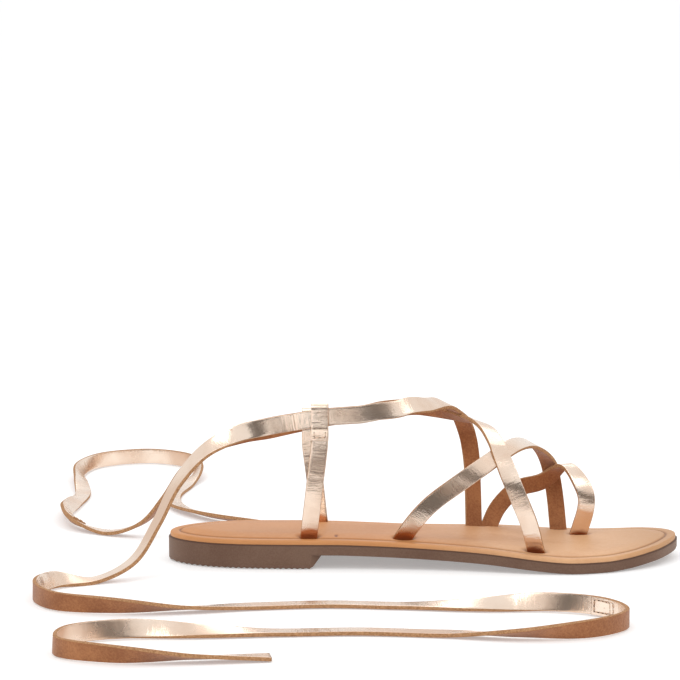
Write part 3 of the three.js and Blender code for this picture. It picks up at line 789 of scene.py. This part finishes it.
keeper = {"width": 8.2, "thickness": 1.5, "overlap": 6, "fold": 1.5, "step": 0.7, "stitchInset": 1.4,
          "stitchReach": 3.4, "stitchEnd": 1.6}
# strap that it holds, foot as share of the length and side, share of the length of its loop
keeperPlaces = {
    "keeper_outer": ("strap_inner_instep", 0.276, 0, 0.297),
    "keeper_inner": ("strap_outer_instep", 0.295, 1, 0.277),
}


def keeperPath(strapName, footAt, footSide, loopAt):
    run = evenSteps(*strapPaths[strapName], 0.5)
    passed = np.nonzero(shareAt(run["centres"][:, 0]) > loopAt)[0][-1]
    middle, out = run["centres"][passed], run["out"][passed]
    up = unit(np.array([0, 0, 1]) - out * out[2])
    sideways = np.cross(out, up)
    gap = (strap["thickness"] + keeper["thickness"]) / 2 + strap["seam"]
    half = strap["width"] / 2 + 2 * strap["seam"]

    def spot(outwards, upwards):
        return middle + out * outwards + up * upwards

    def fold(degrees):
        angle = math.radians(degrees)
        return spot(-gap * math.cos(angle), half + keeper["fold"] * math.sin(angle))

    at, way = np.array([footAt]), np.array([footSide])
    footFacing = formNormal(forms["foot"], at, way)[0]
    foot = forms["foot"](at, way)[0] + footFacing * keeper["thickness"] / 2
    joint = spot(-gap + 1, -half - keeper["overlap"])
    away = unit(foot - joint)
    sunk = outsoleTop(footAt) - keeper["width"] / 4
    below = foot + away * (foot[2] - sunk) / -away[2]
    bow = (foot + joint) / 2 + out * 1.5
    onPost = -gap + 1 + keeper["thickness"] - 0.05
    points = np.array(
        [below, foot, bow, joint, spot(-gap, -half), spot(-gap, 0), spot(-gap, half)]
        + [fold(degrees) for degrees in (30, 60, 90, 120, 150)]
        + [spot(gap, half), spot(gap, 0), spot(gap, -half), spot(gap - 0.5, -half - 1.5),
           spot(onPost + 0.3, -half - 4), spot(onPost, -half - keeper["overlap"])])
    facings = [footFacing]
    for i in range(1, len(points)):
        after = points[min(i + 1, len(points) - 1)]
        facings.append(unit(np.cross(after - points[i - 1], sideways)))
    return points, np.array(facings)


def makeKeeper(name):
    points, facings = keeperPath(*keeperPlaces[name])
    # the foil side is outside the fold, so it faces the foot on the post and outwards on the leaf
    path = evenSteps(points, -facings, keeper["step"])
    path["face"] = keeper["thickness"] / 2
    piece = bandPiece(name + "_leather", path, keeper["width"], keeper["thickness"], [foil, foil, cutEdge])
    paintSlotReflection(piece, slotReflectionPaint["keeper"])
    dress(piece, name)
    side = keeper["width"] / 2 - keeper["stitchInset"]
    end = path["run"][-1] - keeper["stitchEnd"]
    start = end - keeper["stitchReach"]
    threadPiece(name + "_stitches", path, [(start, -side), (end, -side), (end, side), (start, side)])


for name in keeperPlaces:
    makeKeeper(name)
print("keepers made")


# Outsole and heel

def finishSolid(piece, node):
    dress(piece, node)
    sharp = piece.modifiers.new("edges", "EDGE_SPLIT")
    sharp.split_angle = math.radians(40)


def makeOutsole():
    stations = (1 - np.cos(np.linspace(0, math.pi, 181))) / 2
    radius, thick = sole["edgeRound"], sole["thickness"]
    # inset, height and seam shade from the underside's edge up to the seam under the footbed
    profile = [
        (radius, 0, 0), (radius * 0.3, radius * 0.3, 0), (0, radius, 0),
        (0.05, thick * 0.35, 0), (0.05, thick * 0.6, 0), (0, thick - 0.75, 0),
        (0.12, thick - 0.55, 1), (0.35, thick - 0.4, 1), (0.4, thick - 0.15, 1),
        (0.6, thick, 1), (2.2, thick, 1),
    ]
    rings, seams = [], []
    for inset, height, seam in profile:
        flat = soleOutline(stations, inset)
        rings.append(np.column_stack([flat, underside(shareAt(flat[:, 0])) + height]))
        seams.append(np.full(len(flat), seam))
    count = len(rings[0])
    faces = ringFaces(len(rings), count)
    faces += closingFaces(0, count, False) + closingFaces((len(rings) - 1) * count, count, True)
    piece = newPiece("outsole_layer", np.concatenate(rings), faces, [rubber])
    giveValues(piece, "seamShade", np.concatenate(seams))
    finishSolid(piece, "outsole")


def makeHeel():
    roundBack = (1 - np.cos(np.linspace(0, 0.5, 14))) / 2
    ridged = np.arange(0.02, breastAt, sole["ridgePitch"] / 4 / sole["length"])
    spread = np.unique(np.concatenate([roundBack, ridged]))
    spread = spread[spread < breastAt - 0.004]
    front = placeAt(breastAt)

    def edgeAt(edge, push, corner):
        line = np.stack([placeAt(spread), edge(spread)], 1)
        return np.concatenate([line, [[front, edge(breastAt)], [push, edge(breastAt) + corner]]])

    def ringAt(inset, height, slant, ridges=False):
        corner = slant * sole["breastCorner"] + inset
        push = front + slant * sole["breastSlant"]
        inner = edgeAt(innerEdge, push, -corner)[1:]
        ring = np.concatenate([edgeAt(outerEdge, push, corner), inner[::-1]])
        ring = ring - unit(ring + 1e-9) * inset
        wave = (ring[:, 0] - heelBack) / sole["ridgePitch"]
        rise = sole["ridgeDepth"] * np.clip(1.6 * np.abs(2 * (wave % 1) - 1) - 0.3, 0, 1) if ridges else 0
        return np.column_stack([ring, np.zeros(len(ring)) + height + rise])

    top = sole["heelLift"] + sole["thickness"] / 2
    rings = [
        ringAt(1.0, 0, 0.06, ridges=True), ringAt(0.3, 0.35, 0.1, ridges=True), ringAt(0.05, 1.1, 0.2),
        ringAt(0, sole["heelLift"] - 0.5, 0.95), ringAt(0.02, top, 1),
    ]
    count = len(rings[0])
    points = np.concatenate(rings)
    faces = ringFaces(len(rings), count)
    last = (len(rings) - 1) * count
    for i in range(count // 2):
        across, nextAcross = (count - i) % count, count - i - 1
        quad = [i, i + 1, nextAcross, across] if i else [0, 1, nextAcross]
        if len(set(quad)) == len(quad):
            faces.append(tuple(last + v for v in quad))
            faces.append(tuple(reversed(quad)))
    piece = newPiece("heel_block", points, faces, [rubber])
    giveValues(piece, "seamShade", np.zeros(len(points)))
    finishSolid(piece, "outsole")


makeOutsole()
makeHeel()
print("sole made")


# Footbed with its pressed line and the slots that the straps run into

cover = {"along": 420, "across": 120, "slotLong": 6.4, "slotWide": 3.6}
footbedMark = {"x": 47.2, "y": -19, "wide": 0.6, "deep": 1.1, "depth": 0.3}


def cosineSteps(count):
    # from 0 to 1, closer together at the ends
    return (1 - np.cos(np.linspace(0, math.pi, count + 1))) / 2


def slotPlaces():
    # where each strap and keeper passes the footbed's face
    found = []
    for points, _ in list(strapPaths.values()) + [keeperPath(*place) for place in keeperPlaces.values()]:
        line = catmull(points, 24)
        over = line[:, 2] - footbedTop(shareAt(line[:, 0]))
        for i in np.nonzero(over[:-1] * over[1:] <= 0)[0]:
            found.append((line[i, 0], line[i, 1]))
    return found


def coverGrid(outline):
    # places all over the footbed, in rows from its outer to its inner edge
    half = len(outline) // 2 + 1
    outerLine, innerLine = outline[:half], np.concatenate([outline[half - 1:], outline[:1]])[::-1]
    low, high = outline[:, 0].min() + 0.02, outline[:, 0].max() - 0.02
    stations = 0.5 * cosineSteps(cover["along"]) + 0.5 * np.linspace(0, 1, cover["along"] + 1)
    sideways = 0.65 * cosineSteps(cover["across"]) + 0.35 * np.linspace(0, 1, cover["across"] + 1)
    xs = low + (high - low) * stations
    outerY = np.interp(xs, outerLine[:, 0], outerLine[:, 1])
    innerY = np.interp(xs, innerLine[:, 0], innerLine[:, 1])
    x = np.repeat(xs[:, None], len(sideways), 1)
    y = outerY[:, None] + (innerY - outerY)[:, None] * sideways[None, :]
    return np.stack([x.ravel(), y.ravel()], 1)


def insetFrom(outline, flat):
    inset = np.full(len(flat), 1e9)
    for start, step in zip(outline, np.roll(outline, -1, 0) - outline):
        share = np.clip(((flat - start) @ step) / (step @ step), 0, 1)
        inset = np.minimum(inset, np.linalg.norm(flat - start - share[:, None] * step, axis=1))
    return inset


def makeFootbed():
    outline = soleOutline(cosineSteps(300), footbed["inset"])
    flat = coverGrid(outline)
    inset = insetFrom(outline, flat)
    rounding = footbed["edgeRound"]
    bend = np.clip(inset / rounding, 0, 1)
    over = footbed["thickness"] - rounding * (1 - np.sqrt(1 - (1 - bend) ** 2))
    line = np.exp(-2.5 * ((inset - footbed["lineInset"]) / footbed["lineWidth"]) ** 2)
    crownShare = np.clip((inset - footbed["lineInset"]) / footbed["crownReach"], 0, 1)
    over = over + footbed["crown"] * np.sin(crownShare * math.pi / 2) - footbed["lineDepth"] * line
    slots = np.zeros(len(flat))
    for slotX, slotY in slotPlaces():
        reach = np.hypot((flat[:, 0] - slotX) / cover["slotLong"], (flat[:, 1] - slotY) / cover["slotWide"])
        slots = np.maximum(slots, np.clip(1.3 * (1.15 - reach), 0, 1))
    slots = slots * slots * (3 - 2 * slots)
    markX, markY = flat[:, 0] - footbedMark["x"], flat[:, 1] - footbedMark["y"]
    mark = np.clip(1.8 - np.hypot(markX / footbedMark["wide"], markY / footbedMark["deep"]), 0, 1)
    over = over - footbed["slotDepth"] * slots - footbedMark["depth"] * mark
    top = np.column_stack([flat, outsoleTop(shareAt(flat[:, 0])) + over])

    rows, columns = cover["along"] + 1, cover["across"] + 1
    faces = [(r * columns + c, (r + 1) * columns + c, (r + 1) * columns + c + 1, r * columns + c + 1)
             for r in range(rows - 1) for c in range(columns - 1)]
    rim = list(range(columns)) + [r * columns + columns - 1 for r in range(1, rows)]
    rim += [(rows - 1) * columns + c for c in reversed(range(columns - 1))]
    rim += [r * columns for r in reversed(range(1, rows - 1))]
    base = top[rim].copy()
    base[:, 2] = outsoleTop(shareAt(base[:, 0])) - 0.05
    for i in range(len(rim)):
        j = (i + 1) % len(rim)
        faces.append((rim[j], len(top) + j, len(top) + i, rim[i]))
    piece = newPiece("footbed_cover", np.concatenate([top, base]), faces, [tanLeather])
    zeros = np.zeros(len(base))
    giveValues(piece, "lineShade", np.concatenate([np.clip(line, 0, 1), zeros]))
    giveValues(piece, "slotShade", np.concatenate([np.maximum(slots, mark), zeros]))
    finishSolid(piece, "footbed")


makeFootbed()
print("footbed made")


# Floor, soft light and the dark cards that only the foil mirrors

floorLook = {"side": 90, "below": 0.0002, "grey": 0.75, "glow": 0.42}
cardColor = (0.045, 0.038, 0.033, 1)
# middle, size and turn
cards = {
    "card_standing": ((0.0, -0.95, 0.23), (2.2, 0.46), (90, 0, 0)),
    "card_lying": ((0.078, -0.474, 0.0006), (0.038, 0.852), (0, 0, 0)),
    "card_small": ((0.038, -0.195, 0.0006), (0.044, 0.15), (0, 0, 0)),
}
# place, size and power
lights = {
    "key": ((-0.6, -0.9, 1.9), 1.0, 7.5),
    "fill": ((1.3, -0.7, 1.6), 0.9, 4),
    "back": ((0.1, 1.4, 1.4), 1.2, 5),
}
studio = {"aim": (0.08, 0, 0.03), "surround": 0.92}


def panel(name, place, size, turn, color, glow):
    mesh = bpy.data.meshes.new(name)
    w, h = size[0] / 2, size[1] / 2
    mesh.from_pydata([(-w, -h, 0), (w, -h, 0), (w, h, 0), (-w, h, 0)], [], [(0, 1, 2, 3)])
    made = bpy.data.objects.new(name, mesh)
    made.location, made.rotation_euler = place, [math.radians(a) for a in turn]
    bpy.context.collection.objects.link(made)
    look = {"color": color, "rough": 0.9, "specular": 0.0, "glow": color, "glowStrength": glow}
    mesh.materials.append(Finish(name).set(**look))
    return made


floorSize, floorColor = [floorLook["side"]] * 2, [floorLook["grey"]] * 3 + [1]
panel("floor", (0, 0, -floorLook["below"]), floorSize, (0, 0, 0), floorColor, floorLook["glow"])
for name, (place, size, turn) in cards.items():
    card = panel(name, place, size, turn, cardColor, 1)
    card.visible_camera = card.visible_diffuse = card.visible_shadow = False

for name, (place, size, power) in lights.items():
    lamp = bpy.data.objects.new(name, bpy.data.lights.new(name, "AREA"))
    lamp.data.size, lamp.data.energy = size, power
    lamp.location = place
    lamp.rotation_euler = (Vector(studio["aim"]) - Vector(place)).to_track_quat("-Z", "Y").to_euler()
    bpy.context.collection.objects.link(lamp)

world = bpy.data.worlds.new("studio")
world.use_nodes = True
surround = world.node_tree.nodes["Background"]
surround.inputs["Color"].default_value = (1, 1, 1, 1)
surround.inputs["Strength"].default_value = studio["surround"]
bpy.context.scene.world = world
bpy.context.scene.view_settings.view_transform = "Standard"
print("floor and light made")
